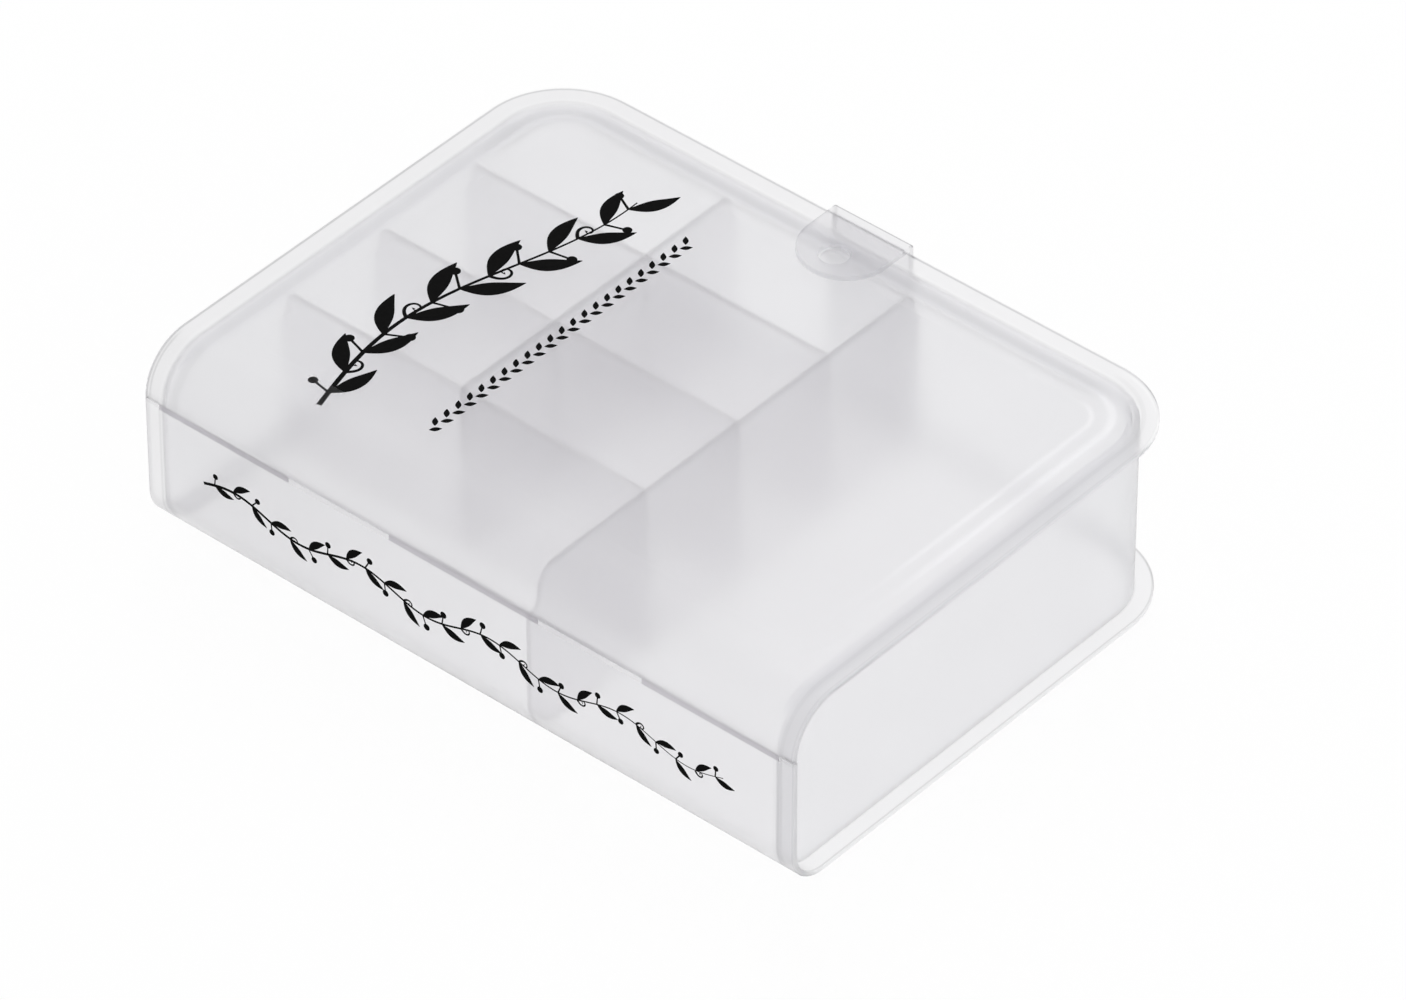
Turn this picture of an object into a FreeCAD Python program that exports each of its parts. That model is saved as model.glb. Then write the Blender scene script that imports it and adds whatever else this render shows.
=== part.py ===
import FreeCAD, Part
import math
import os
import re
import Sketcher

# Cable organizer box in millimetres: a flat case made like a book, with a base cover and
# spine, a wall set in from the covers' edges, eight compartments, a lid on a film hinge
# and a latch that folds up over the lid's back edge.
# X runs along the hinge, Y from the spine to the back edge, Z up from the underside.

doc = FreeCAD.newDocument("OrganizerBox")

SIZES = [
    ("cover_length", 220.0, "both covers, along the hinge"),
    ("cover_depth", 160.0, "both covers, from the spine's face to the back edge"),
    ("case_height", 58.0, "underside of the base to the top of the lid"),
    ("cover_thickness", 1.5, "base, spine and lid"),
    ("corner_radius", 25.0, "back corners of both covers"),
    ("roll_radius", 15.0, "outside of the lid's rolled front edge"),
    ("bottom_edge_radius", 12.0, "outside of the bend from base to spine"),
    ("edge_rounding", 0.4, "rims of both covers and of the latch"),
    ("wall_inset", 5.0, "wall behind the covers' edges"),
    ("wall_thickness", 1.6, "page wall"),
    ("seat_gap", 0.2, "top of the wall to the lid"),
    ("hinge_gap", 1.6, "spine to lid, bridged by the films"),
    ("hinge_film", 0.4, "thickness of every film"),
    ("hinge_seam", 0.3, "spine's end tabs to the lid"),
    ("hinge_tab", 4.0, "length of the spine's end tabs"),
    ("film_end_margin", 5.0, "covers' ends to the outer films"),
    ("outer_film_length", 45.0, "left and right film"),
    ("middle_film_length", 50.4, "film at the middle"),
    ("divider_thickness", 1.4, "every divider"),
    ("divider_drop", 3.1, "lid's underside to the dividers' tops"),
    ("long_divider_offset", 21.2, "long divider from the middle"),
    ("row_depth", 34.5, "clear depth of the rows behind the front one"),
    ("wall_relief_round", 3.0, "rounded top corner of a divider near the wall"),
    ("wall_relief_reach", 1.2, "that end's step back from the wall"),
    ("wall_relief_depth", 7.4, "dividers' tops down to the foot of that step"),
    ("spine_relief_round", 6.5, "rounded top corner near the spine"),
    ("spine_relief_reach", 4.0, "that end's step back from the spine"),
    ("spine_relief_drop", 0.4, "foot of that step below the spine's top"),
    ("rib_depth", 4.0, "skirt under the lid"),
    ("rib_thickness", 1.3, "skirt under the lid"),
    ("rib_clearance", 0.4, "skirt to the inside of the wall"),
    ("panel_inset", 11.2, "lid's outline to the recessed panel's border"),
    ("panel_slope", 6.3, "width of the sloped border"),
    ("panel_depth", 0.45, "depth of the panel"),
    ("panel_margin", 1.0, "rolled edge to the panel's border"),
    ("latch_width", 26.5, "latch"),
    ("latch_thickness", 1.5, "latch"),
    ("latch_gap", 0.3, "latch to the covers"),
    ("latch_reach", 23.0, "latch's tip past the lid's back edge"),
    ("latch_nose_radius", 13.2, "round tip of the latch"),
    ("latch_bend_inside", 0.6, "inner bend of the latch"),
    ("latch_bend_outside", 1.0, "outer bend of the latch"),
    ("latch_hole", 8.6, "diameter of the latch's hole"),
    ("latch_hole_inset", 14.6, "hole's centre from the lid's back edge"),
    ("latch_film_margin", 1.25, "latch's sides to its film"),
    ("button_radius", 3.6, "button in the latch's hole"),
    ("button_crown", 0.8, "rise of the button's dome"),
]

# Lines and levels that several pieces share, as expressions over the sizes
FRONT = "-cover_depth / 2"
BACK = "cover_depth / 2"
SPINE_INSIDE = f"({FRONT} + cover_thickness)"
LID_UNDERSIDE = "(case_height - cover_thickness)"
ROLL_CENTRE_Y = f"({FRONT} + roll_radius)"
LID_EDGE = "(case_height - roll_radius)"
SPINE_TOP = f"({LID_EDGE} - hinge_gap)"
WALL_BACK = f"({BACK} - wall_inset)"
WALL_SIDE = "(cover_length / 2 - wall_inset)"
WALL_BACK_INSIDE = f"({WALL_BACK} - wall_thickness)"
WALL_SIDE_INSIDE = f"({WALL_SIDE} - wall_thickness)"
WALL_RADIUS = "(corner_radius - wall_inset)"
DIVIDER_TOP = f"({LID_UNDERSIDE} - divider_drop)"
BEND_INSIDE = "(bottom_edge_radius - cover_thickness)"
LONG_DIVIDER_LEFT = "(long_divider_offset - divider_thickness / 2)"
SHORT_DIVIDER_X = f"(({LONG_DIVIDER_LEFT} - {WALL_SIDE_INSIDE}) / 2)"
LATCH_INSIDE = f"({BACK} + latch_gap)"
LATCH_UNDERSIDE = "(case_height + latch_gap)"

sheet = doc.addObject("Spreadsheet::Sheet", "Sizes")
for row, (alias, number, meaning) in enumerate(SIZES, start=1):
    sheet.set(f"A{row}", alias)
    sheet.set(f"B{row}", str(number))
    sheet.set(f"C{row}", meaning)
    sheet.setAlias(f"B{row}", alias)
doc.recompute()


# An expression with each size's name led to its cell of the sheet
def bound(text):
    return re.sub(r"[a-z]+(?:_[a-z]+)+", lambda name: "Sizes." + name.group(), text)


def value(text):
    return float(sheet.evalExpression(bound(text)))


def newBody(name):
    body = doc.addObject("PartDesign::Body", name)
    body.Label = name
    return body


# A straight or round stretch from one point to the next. A positive radius turns left
# on the way and a negative one turns right.
def stretch(start, end, radius):
    if not radius:
        return Part.LineSegment(start, end)
    chord = end - start
    aside = FreeCAD.Vector(-chord.y, chord.x, 0).normalize()
    height = math.sqrt(radius ** 2 - chord.Length ** 2 / 4)
    centre = (start + end) / 2 + aside * math.copysign(height, radius)
    first, last = (start, end) if radius > 0 else (end, start)
    angles = [math.atan2(p.y - centre.y, p.x - centre.x) for p in (first, last)]
    circle = Part.Circle(centre, FreeCAD.Vector(0, 0, 1), abs(radius))
    return Part.ArcOfCircle(circle, angles[0], angles[1])


# A sketch on one of the body's own planes, moved along that plane's normal. Each corner
# holds two expressions, and a third gives the radius of the arc that leads to it.
def addSketch(body, plane, name, offset="0"):
    sketch = body.newObject("Sketcher::SketchObject", body.Name + "_" + name)
    support = next(f for f in body.Origin.OriginFeatures if f.Role == plane)
    sketch.AttachmentSupport = [(support, "")]
    sketch.MapMode = "FlatFace"
    sketch.setExpression("AttachmentOffset.Base.z", bound(offset))
    return sketch


def addOutline(sketch, corners):
    points = [FreeCAD.Vector(value(c[0]), value(c[1]), 0) for c in corners]
    bends = [c[2] if len(c) > 2 else "" for c in corners]
    ends = []
    for i, corner in enumerate(corners):
        following = (i + 1) % len(corners)
        radius = value(bends[following]) if bends[following] else 0
        sketch.addGeometry(stretch(points[i], points[following], radius), False)
        ends.append((2, 1) if radius < 0 else (1, 2))
    for i, corner in enumerate(corners):
        following = (i + 1) % len(corners)
        start, end = ends[i]
        joined = Sketcher.Constraint("Coincident", i, end, following, ends[following][0])
        sketch.addConstraint(joined)
        for kind, text in (("DistanceX", corner[0]), ("DistanceY", corner[1])):
            index = sketch.addConstraint(Sketcher.Constraint(kind, -1, 1, i, start, value(text)))
            sketch.setExpression(f"Constraints[{index}]", bound(text))
        if bends[following]:
            radius = abs(value(bends[following]))
            index = sketch.addConstraint(Sketcher.Constraint("Radius", i, radius))
            sketch.setExpression(f"Constraints[{index}]", f"abs({bound(bends[following])})")


def addCircle(sketch, x, y, radius):
    centre = FreeCAD.Vector(value(x), value(y), 0)
    circle = Part.Circle(centre, FreeCAD.Vector(0, 0, 1), value(radius))
    edge = sketch.addGeometry(circle, False)
    index = sketch.addConstraint(Sketcher.Constraint("Radius", edge, value(radius)))
    sketch.setExpression(f"Constraints[{index}]", bound(radius))
    for kind, text in (("DistanceX", x), ("DistanceY", y)):
        index = sketch.addConstraint(Sketcher.Constraint(kind, -1, 1, edge, 3, value(text)))
        sketch.setExpression(f"Constraints[{index}]", bound(text))


def sketched(body, plane, name, corners, offset="0"):
    sketch = addSketch(body, plane, name, offset)
    addOutline(sketch, corners)
    return sketch


# A pad of an outline, half of its length to each side of the sketch
def addPad(body, sketch, name, length):
    pad = body.newObject("PartDesign::Pad", body.Name + "_" + name)
    pad.Profile = sketch
    pad.SideType = "Symmetric"
    pad.setExpression("Length", bound(length))
    doc.recompute()
    return pad


# A cut right through the body, to both sides of the sketch
def addCut(body, sketch, name):
    volume = body.Shape.Volume
    pocket = body.newObject("PartDesign::Pocket", body.Name + "_" + name)
    pocket.Profile = sketch
    pocket.Type = "ThroughAll"
    pocket.SideType = "Symmetric"
    doc.recompute()
    if body.Shape.Volume >= volume:
        raise ValueError(pocket.Name + " cuts nothing")
    return pocket


# Names of the edges whose middle lies at a place, where None leaves a coordinate free and
# X counts to both sides
def edgesAt(feature, x=None, y=None, z=None):
    names = []
    for number, edge in enumerate(feature.Shape.Edges, start=1):
        middle = edge.valueAt((edge.FirstParameter + edge.LastParameter) / 2)
        found = (abs(middle.x), middle.y, middle.z)
        offsets = [abs(w - f) for w, f in zip((x, y, z), found) if w is not None]
        if max(offsets) < 1e-4:
            names.append(f"Edge{number}")
    return names


def addFillet(body, name, edges, radius):
    if not edges:
        raise ValueError(name + " finds no edge")
    base = body.Tip
    fillet = body.newObject("PartDesign::Fillet", body.Name + "_" + name)
    fillet.Base = (base, edges)
    fillet.setExpression("Radius", bound(radius))
    doc.recompute()
    return fillet


# Bottom plate and spine in one bend. The spine's end tabs stand beside the hinge.
def buildBaseCover():
    body = newBody("base_cover")
    profile = sketched(body, "YZ_Plane", "Profile", [
        (BACK, "0"),
        (BACK, "cover_thickness"),
        (f"{FRONT} + bottom_edge_radius", "cover_thickness"),
        (SPINE_INSIDE, "bottom_edge_radius", f"-{BEND_INSIDE}"),
        (SPINE_INSIDE, f"{LID_EDGE} - hinge_seam"),
        (FRONT, f"{LID_EDGE} - hinge_seam"),
        (FRONT, "bottom_edge_radius"),
        (f"{FRONT} + bottom_edge_radius", "0", "bottom_edge_radius"),
    ])
    pad = addPad(body, profile, "Plate", "cover_length")
    corners = edgesAt(pad, x=value("cover_length / 2"), y=value(BACK))
    addFillet(body, "Corners", corners, "corner_radius")
    rim = edgesAt(body.Tip, y=value(BACK), z=0)
    addFillet(body, "Rim", rim, "edge_rounding")
    tabs = "(cover_length / 2 - hinge_tab)"
    opening = sketched(body, "XZ_Plane", "HingeOpening", [
        (f"-{tabs}", SPINE_TOP),
        (tabs, SPINE_TOP),
        (tabs, "case_height"),
        (f"-{tabs}", "case_height"),
    ])
    addCut(body, opening, "Hinge")
    return body


# Wall round the left, back and right sides. Its front ends follow the bend of the base
# and the roll of the lid.
def buildPageWall():
    body = newBody("page_wall")
    roll = "(roll_radius - cover_thickness - seat_gap)"
    profile = sketched(body, "YZ_Plane", "Profile", [
        (WALL_BACK, "cover_thickness"),
        (WALL_BACK, f"{LID_UNDERSIDE} - seat_gap"),
        (ROLL_CENTRE_Y, f"{LID_UNDERSIDE} - seat_gap"),
        (f"{SPINE_INSIDE} + seat_gap", LID_EDGE, roll),
        (f"{SPINE_INSIDE} + seat_gap", SPINE_TOP),
        (SPINE_INSIDE, SPINE_TOP),
        (SPINE_INSIDE, "bottom_edge_radius"),
        (f"{FRONT} + bottom_edge_radius", "cover_thickness", BEND_INSIDE),
    ])
    pad = addPad(body, profile, "Block", f"2 * {WALL_SIDE}")
    corners = edgesAt(pad, x=value(WALL_SIDE), y=value(WALL_BACK))
    addFillet(body, "Corners", corners, WALL_RADIUS)
    inside = f"({WALL_RADIUS} - wall_thickness)"
    hollow = sketched(body, "XY_Plane", "Hollow", [
        (f"-{WALL_SIDE_INSIDE}", "-cover_depth"),
        (WALL_SIDE_INSIDE, "-cover_depth"),
        (WALL_SIDE_INSIDE, f"{WALL_BACK_INSIDE} - {inside}"),
        (f"{WALL_SIDE_INSIDE} - {inside}", WALL_BACK_INSIDE, inside),
        (f"{inside} - {WALL_SIDE_INSIDE}", WALL_BACK_INSIDE),
        (f"-{WALL_SIDE_INSIDE}", f"{WALL_BACK_INSIDE} - {inside}", inside),
    ])
    addCut(body, hollow, "Inside")
    return body


# Upper end of a divider beside the wall, from the foot of its step up to the rounded
# corner. The side is 1 where the wall lies on the positive side and -1 on the negative.
def wallRelief(wall, side):
    inwards, flare, turn = ("-", "-", "") if side > 0 else ("+", "", "-")
    step = f"{wall} {inwards} wall_relief_reach"
    foot = f"{DIVIDER_TOP} - wall_relief_depth"
    return [
        (wall, foot),
        (step, f"{foot} + wall_relief_reach", f"{flare}wall_relief_reach"),
        (step, f"{DIVIDER_TOP} - wall_relief_round"),
        (f"{step} {inwards} wall_relief_round", DIVIDER_TOP, f"{turn}wall_relief_round"),
    ]


# Full-depth divider. Its front end keeps clear of the lid's rolled edge by an S-shaped
# step that meets the spine just under the spine's top.
def buildLongDivider():
    body = newBody("long_divider")
    step = f"{SPINE_INSIDE} + spine_relief_reach"
    rounded = f"{DIVIDER_TOP} - spine_relief_round"
    foot = f"min({SPINE_TOP} - spine_relief_drop; {rounded} - spine_relief_reach - seat_gap)"
    corners = [(WALL_BACK_INSIDE, "cover_thickness")]
    corners += wallRelief(WALL_BACK_INSIDE, 1)
    corners += [
        (f"{step} + spine_relief_round", DIVIDER_TOP),
        (step, rounded, "spine_relief_round"),
        (step, f"{foot} + spine_relief_reach"),
        (SPINE_INSIDE, foot, "-spine_relief_reach"),
        (SPINE_INSIDE, "bottom_edge_radius"),
        (f"{FRONT} + bottom_edge_radius", "cover_thickness", BEND_INSIDE),
    ]
    profile = sketched(body, "YZ_Plane", "Profile", corners, "long_divider_offset")
    addPad(body, profile, "Sheet", "divider_thickness")
    return body


# Y of a cross divider, counted in rows from the back wall
def rowLine(rows):
    return f"({WALL_BACK_INSIDE} - {rows} * row_depth - {rows - 0.5} * divider_thickness)"


# Divider from the left wall to the long divider
def buildCrossDivider(name, rows):
    body = newBody(name)
    left = f"-{WALL_SIDE_INSIDE}"
    corners = [(LONG_DIVIDER_LEFT, "cover_thickness"), (left, "cover_thickness")]
    corners += wallRelief(left, -1)
    corners += [(LONG_DIVIDER_LEFT, DIVIDER_TOP)]
    profile = sketched(body, "XZ_Plane", "Profile", corners, f"-{rowLine(rows)}")
    addPad(body, profile, "Sheet", "divider_thickness")
    return body


# Divider that halves one of the left rows. The rear one ends at the back wall.
def buildShortDivider(name, rows):
    body = newBody(name)
    front = f"{rowLine(rows)} + divider_thickness / 2"
    back = f"{rowLine(rows - 1)} - divider_thickness / 2" if rows > 1 else WALL_BACK_INSIDE
    corners = [(front, "cover_thickness"), (back, "cover_thickness")]
    corners += wallRelief(back, 1) if rows == 1 else [(back, DIVIDER_TOP)]
    corners += [(front, DIVIDER_TOP)]
    profile = sketched(body, "YZ_Plane", "Profile", corners, SHORT_DIVIDER_X)
    addPad(body, profile, "Sheet", "divider_thickness")
    return body


# Corners of an outline that follows the lid's, set in from it, with four round corners
def panelOutline(inset, front):
    side = f"(cover_length / 2 - {inset})"
    back = f"({BACK} - {inset})"
    bend = f"(corner_radius - {inset})"
    return [
        (f"{bend} - {side}", front, bend),
        (f"{side} - {bend}", front),
        (side, f"{front} + {bend}", bend),
        (side, f"{back} - {bend}"),
        (f"{side} - {bend}", back, bend),
        (f"{bend} - {side}", back),
        (f"-{side}", f"{back} - {bend}", bend),
        (f"-{side}", f"{front} + {bend}"),
    ]


# Lid plate with its rolled front edge, the shallow panel in its top and the button that
# stands in the latch's hole
def buildLidCover():
    body = newBody("lid_cover")
    inside = "(roll_radius - cover_thickness)"
    profile = sketched(body, "YZ_Plane", "Profile", [
        (BACK, LID_UNDERSIDE),
        (BACK, "case_height"),
        (ROLL_CENTRE_Y, "case_height"),
        (FRONT, LID_EDGE, "roll_radius"),
        (SPINE_INSIDE, LID_EDGE),
        (ROLL_CENTRE_Y, LID_UNDERSIDE, f"-{inside}"),
    ])
    pad = addPad(body, profile, "Plate", "cover_length")
    corners = edgesAt(pad, x=value("cover_length / 2"), y=value(BACK))
    addFillet(body, "Corners", corners, "corner_radius")
    rim = edgesAt(body.Tip, y=value(BACK), z=value("case_height"))
    rim += edgesAt(body.Tip, y=value(BACK), z=value(LID_UNDERSIDE))
    addFillet(body, "Rim", rim, "edge_rounding")
    addPanel(body)
    addButton(body)
    return body


# Shallow recess in the lid's top, sloped from its border down to its floor
def addPanel(body):
    front = f"{ROLL_CENTRE_Y} + panel_margin"
    border = panelOutline("panel_inset", front)
    floor = panelOutline("(panel_inset + panel_slope)", f"{front} + panel_slope")
    volume = body.Shape.Volume
    rim = sketched(body, "XY_Plane", "PanelRim", border, "case_height")
    bottom = sketched(body, "XY_Plane", "PanelFloor", floor, "case_height - panel_depth")
    loft = body.newObject("PartDesign::SubtractiveLoft", body.Name + "_Panel")
    loft.Profile = rim
    loft.Sections = [bottom]
    loft.Ruled = True
    doc.recompute()
    if body.Shape.Volume >= volume:
        raise ValueError(loft.Name + " cuts nothing")


# Domed button on the lid, turned about the axis of the latch's hole
def addButton(body):
    dome = "((button_radius ^ 2 + button_crown ^ 2) / (2 * button_crown))"
    root = "case_height - cover_thickness / 2"
    profile = sketched(body, "YZ_Plane", "ButtonProfile", [
        ("0", root),
        ("button_radius", root),
        ("button_radius", LATCH_UNDERSIDE),
        ("0", f"{LATCH_UNDERSIDE} + button_crown", dome),
    ])
    profile.setExpression("AttachmentOffset.Base.x", bound(f"{BACK} - latch_hole_inset"))
    turned = body.newObject("PartDesign::Revolution", body.Name + "_Button")
    turned.Profile = profile
    turned.ReferenceAxis = (profile, ["V_Axis"])
    turned.Angle = 360
    doc.recompute()


# Skirt under the lid, just inside the page wall. Its front ends run out on the inside
# of the rolled edge.
def buildLidRib():
    body = newBody("lid_rib")
    back = f"({WALL_BACK_INSIDE} - rib_clearance)"
    side = f"({WALL_SIDE_INSIDE} - rib_clearance)"
    roll = "(roll_radius - cover_thickness)"
    bottom = f"{LID_UNDERSIDE} - rib_depth"
    runout = f"sqrt({roll} ^ 2 - ({roll} - rib_depth) ^ 2)"
    profile = sketched(body, "YZ_Plane", "Profile", [
        (back, bottom),
        (back, LID_UNDERSIDE),
        (ROLL_CENTRE_Y, LID_UNDERSIDE),
        (f"{ROLL_CENTRE_Y} - {runout}", bottom, roll),
    ])
    pad = addPad(body, profile, "Block", f"2 * {side}")
    bend = f"({WALL_RADIUS} - wall_thickness - rib_clearance)"
    corners = edgesAt(pad, x=value(side), y=value(back))
    addFillet(body, "Corners", corners, bend)
    inner = f"({bend} - rib_thickness)"
    innerSide = f"({side} - rib_thickness)"
    innerBack = f"({back} - rib_thickness)"
    hollow = sketched(body, "XY_Plane", "Hollow", [
        (f"-{innerSide}", "-cover_depth"),
        (innerSide, "-cover_depth"),
        (innerSide, f"{innerBack} - {inner}"),
        (f"{innerSide} - {inner}", innerBack, inner),
        (f"{inner} - {innerSide}", innerBack),
        (f"-{innerSide}", f"{innerBack} - {inner}", inner),
    ])
    addCut(body, hollow, "Inside")
    return body


# Thin film that joins the spine's top to the lid's rolled edge, flush with their faces
def buildHingeStrip(name, start, length):
    film = doc.addObject("Part::Box", name)
    film.Label = name
    film.setExpression("Length", bound(length))
    film.setExpression("Width", bound("hinge_film"))
    film.setExpression("Height", bound("hinge_gap"))
    film.setExpression("Placement.Base.x", bound(start))
    film.setExpression("Placement.Base.y", bound(FRONT))
    film.setExpression("Placement.Base.z", bound(SPINE_TOP))
    return film


# Flap with a leg behind the covers' back edges and a round-nosed plate over the lid
def buildLatchClasp():
    body = newBody("latch_clasp")
    outside = f"({LATCH_INSIDE} + latch_thickness)"
    top = f"({LATCH_UNDERSIDE} + latch_thickness)"
    bottom = "cover_thickness + latch_gap"
    tip = f"({BACK} - latch_reach)"
    profile = sketched(body, "YZ_Plane", "Profile", [
        (LATCH_INSIDE, bottom),
        (outside, bottom),
        (outside, f"{top} - latch_bend_outside"),
        (f"{outside} - latch_bend_outside", top, "latch_bend_outside"),
        (tip, top),
        (tip, LATCH_UNDERSIDE),
        (f"{LATCH_INSIDE} - latch_bend_inside", LATCH_UNDERSIDE),
        (LATCH_INSIDE, f"{LATCH_UNDERSIDE} - latch_bend_inside", "-latch_bend_inside"),
    ])
    pad = addPad(body, profile, "Flap", "latch_width")
    nose = edgesAt(pad, x=value("latch_width / 2"), y=value(tip))
    addFillet(body, "Nose", nose, "latch_nose_radius")
    hole = addSketch(body, "XY_Plane", "Hole")
    addCircle(hole, "0", f"{BACK} - latch_hole_inset", "latch_hole / 2")
    addCut(body, hole, "FingerHole")
    rim = edgesAt(body.Tip, x=value("latch_width / 2"), z=value(top))
    rim += edgesAt(body.Tip, x=value("latch_hole / 2"), z=value(top))
    addFillet(body, "Rim", rim, "edge_rounding")
    return body


# Film between the base's back edge and the latch's leg, bent through a quarter turn
def buildLatchStrip():
    body = newBody("latch_hinge_strip")
    centre = "cover_thickness + latch_gap"
    outer = "(latch_gap + hinge_film)"
    profile = sketched(body, "YZ_Plane", "Profile", [
        (BACK, f"{centre} - latch_gap", "-latch_gap"),
        (BACK, f"{centre} - {outer}"),
        (f"{BACK} + {outer}", centre, outer),
        (LATCH_INSIDE, centre),
    ])
    addPad(body, profile, "Film", "latch_width - 2 * latch_film_margin")
    return body


outerFilm = "(cover_length / 2 - film_end_margin)"
parts = [
    buildBaseCover(),
    buildPageWall(),
    buildLongDivider(),
    buildCrossDivider("cross_divider_front", 3),
    buildCrossDivider("cross_divider_middle", 2),
    buildCrossDivider("cross_divider_rear", 1),
    buildShortDivider("short_divider_front", 3),
    buildShortDivider("short_divider_middle", 2),
    buildShortDivider("short_divider_rear", 1),
    buildLidCover(),
    buildLidRib(),
    buildHingeStrip("hinge_strip_left", f"-{outerFilm}", "outer_film_length"),
    buildHingeStrip("hinge_strip_middle", "-middle_film_length / 2", "middle_film_length"),
    buildHingeStrip("hinge_strip_right", f"{outerFilm} - outer_film_length",
                    "outer_film_length"),
    buildLatchClasp(),
    buildLatchStrip(),
]
doc.recompute()

for item in doc.Objects:
    if "Invalid" in item.State or "Error" in item.State:
        raise ValueError(item.Name + " is not up to date: " + ", ".join(item.State))

os.makedirs("parts", exist_ok=True)
for part in parts:
    shape = part.Shape
    if shape.isNull() or not shape.isValid() or len(shape.Solids) != 1:
        raise ValueError(part.Label + " is not one valid solid")
    shape.exportStep(f"parts/{part.Label}.step")
    box = shape.BoundBox
    print(f"{part.Label}: {shape.Volume:.1f} mm3, x {box.XMin:.2f} to {box.XMax:.2f},"
          f" y {box.YMin:.2f} to {box.YMax:.2f}, z {box.ZMin:.2f} to {box.ZMax:.2f}")
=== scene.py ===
import math

import bmesh
import bpy
from mathutils import Matrix, Vector


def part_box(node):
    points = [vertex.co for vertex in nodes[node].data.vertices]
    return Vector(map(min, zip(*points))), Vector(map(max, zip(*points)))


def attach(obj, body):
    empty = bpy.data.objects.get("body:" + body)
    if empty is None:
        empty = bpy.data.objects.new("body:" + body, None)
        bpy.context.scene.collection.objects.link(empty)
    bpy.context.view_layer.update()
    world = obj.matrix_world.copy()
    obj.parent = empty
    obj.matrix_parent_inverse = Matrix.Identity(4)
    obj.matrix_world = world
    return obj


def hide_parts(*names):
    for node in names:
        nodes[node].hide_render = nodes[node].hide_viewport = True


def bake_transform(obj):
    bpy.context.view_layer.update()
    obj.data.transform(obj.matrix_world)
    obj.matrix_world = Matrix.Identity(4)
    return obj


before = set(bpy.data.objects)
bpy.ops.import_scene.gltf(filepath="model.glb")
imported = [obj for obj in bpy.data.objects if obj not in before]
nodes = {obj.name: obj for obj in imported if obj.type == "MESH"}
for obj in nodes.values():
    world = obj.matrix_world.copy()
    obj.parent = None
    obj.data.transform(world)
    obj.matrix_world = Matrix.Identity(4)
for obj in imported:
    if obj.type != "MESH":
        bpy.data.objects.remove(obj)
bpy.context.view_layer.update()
mm = 0.001
print("loaded", len(nodes), "pieces of the box")

# Camera at the photograph's angle: how far it stands, how it is turned and what it looks at
cameraSettings = {
    "target": (0.0, 10.0, 28.0),
    "azimuth": 40.79,
    "elevation": 39.98,
    "distance": 2709.39,
    "right": 2.04,
    "up": -12.8,
    "lens": 267.99,
    "sensor": 36.0,
    "clip": (0.05, 50.0),
}


def setCamera(s):
    a, e = math.radians(s["azimuth"]), math.radians(s["elevation"])
    right = Vector((math.cos(a), math.sin(a), 0))
    back = Vector((math.sin(a) * math.cos(e), -math.cos(a) * math.cos(e), math.sin(e)))
    up = back.cross(right)
    data = bpy.data.cameras.new("camera")
    data.lens, data.sensor_width = s["lens"], s["sensor"]
    data.clip_start, data.clip_end = s["clip"]
    camera = bpy.data.objects.new("camera", data)
    bpy.context.scene.collection.objects.link(camera)
    place = Vector(s["target"]) + right * s["right"] + up * s["up"] + back * s["distance"]
    camera.matrix_world = Matrix.Translation(place * mm) @ Matrix((right, up, back)).transposed().to_4x4()
    bpy.context.scene.camera = camera


setCamera(cameraSettings)
print("camera set")


# Nodes of a material, laid left to right
def newMaterial(name):
    material = bpy.data.materials.new(name)
    material.use_nodes = True
    tree = material.node_tree
    tree.nodes.clear()
    return material, tree


def addNode(tree, kind, place, inputs=None, **settings):
    node = tree.nodes.new(kind)
    node.location = place
    for key, setting in settings.items():
        setattr(node, key, setting)
    for key, setting in (inputs or {}).items():
        node.inputs[key].default_value = setting
    return node


# How far a point reaches out of the outline's core, where the corner radii have their centres,
# as a share of the whole reach to the rim
def reachOut(tree, coords, s):
    link = tree.links.new
    split = addNode(tree, "ShaderNodeSeparateXYZ", (-1900, 700))
    side = addNode(tree, "ShaderNodeMath", (-1750, 800), operation="ABSOLUTE")
    joined = addNode(tree, "ShaderNodeCombineXYZ", (-1600, 700))
    beyond = addNode(tree, "ShaderNodeVectorMath", (-1450, 700), operation="SUBTRACT")
    beyond.inputs[1].default_value = [v * mm for v in s["core"]] + [0]
    outside = addNode(tree, "ShaderNodeVectorMath", (-1300, 700), operation="MAXIMUM")
    reach = addNode(tree, "ShaderNodeVectorMath", (-1150, 700), operation="LENGTH")
    share = addNode(tree, "ShaderNodeMapRange", (-1000, 700), {"From Max": s["reach"] * mm})
    link(coords.outputs["Object"], split.inputs["Vector"])
    link(split.outputs["X"], side.inputs[0])
    link(side.outputs[0], joined.inputs["X"])
    link(split.outputs["Y"], joined.inputs["Y"])
    link(joined.outputs[0], beyond.inputs[0])
    link(beyond.outputs[0], outside.inputs[0])
    link(outside.outputs[0], reach.inputs[0])
    link(reach.outputs["Value"], share.inputs["Value"])
    return split, share.outputs["Result"]


# Grey tone that follows a share, by steps of a distance and its tone
def toneSteps(tree, place, share, steps, whole):
    ramp = addNode(tree, "ShaderNodeValToRGB", place)
    elements = ramp.color_ramp.elements
    while len(elements) > 1:
        elements.remove(elements[0])
    for count, (at, tone) in enumerate(steps):
        element = elements.new(at / whole) if count else elements[0]
        element.position = at / whole
        element.color = (tone, tone, tone, 1)
    tree.links.new(share, ramp.inputs["Fac"])
    return ramp.outputs["Color"]


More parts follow.
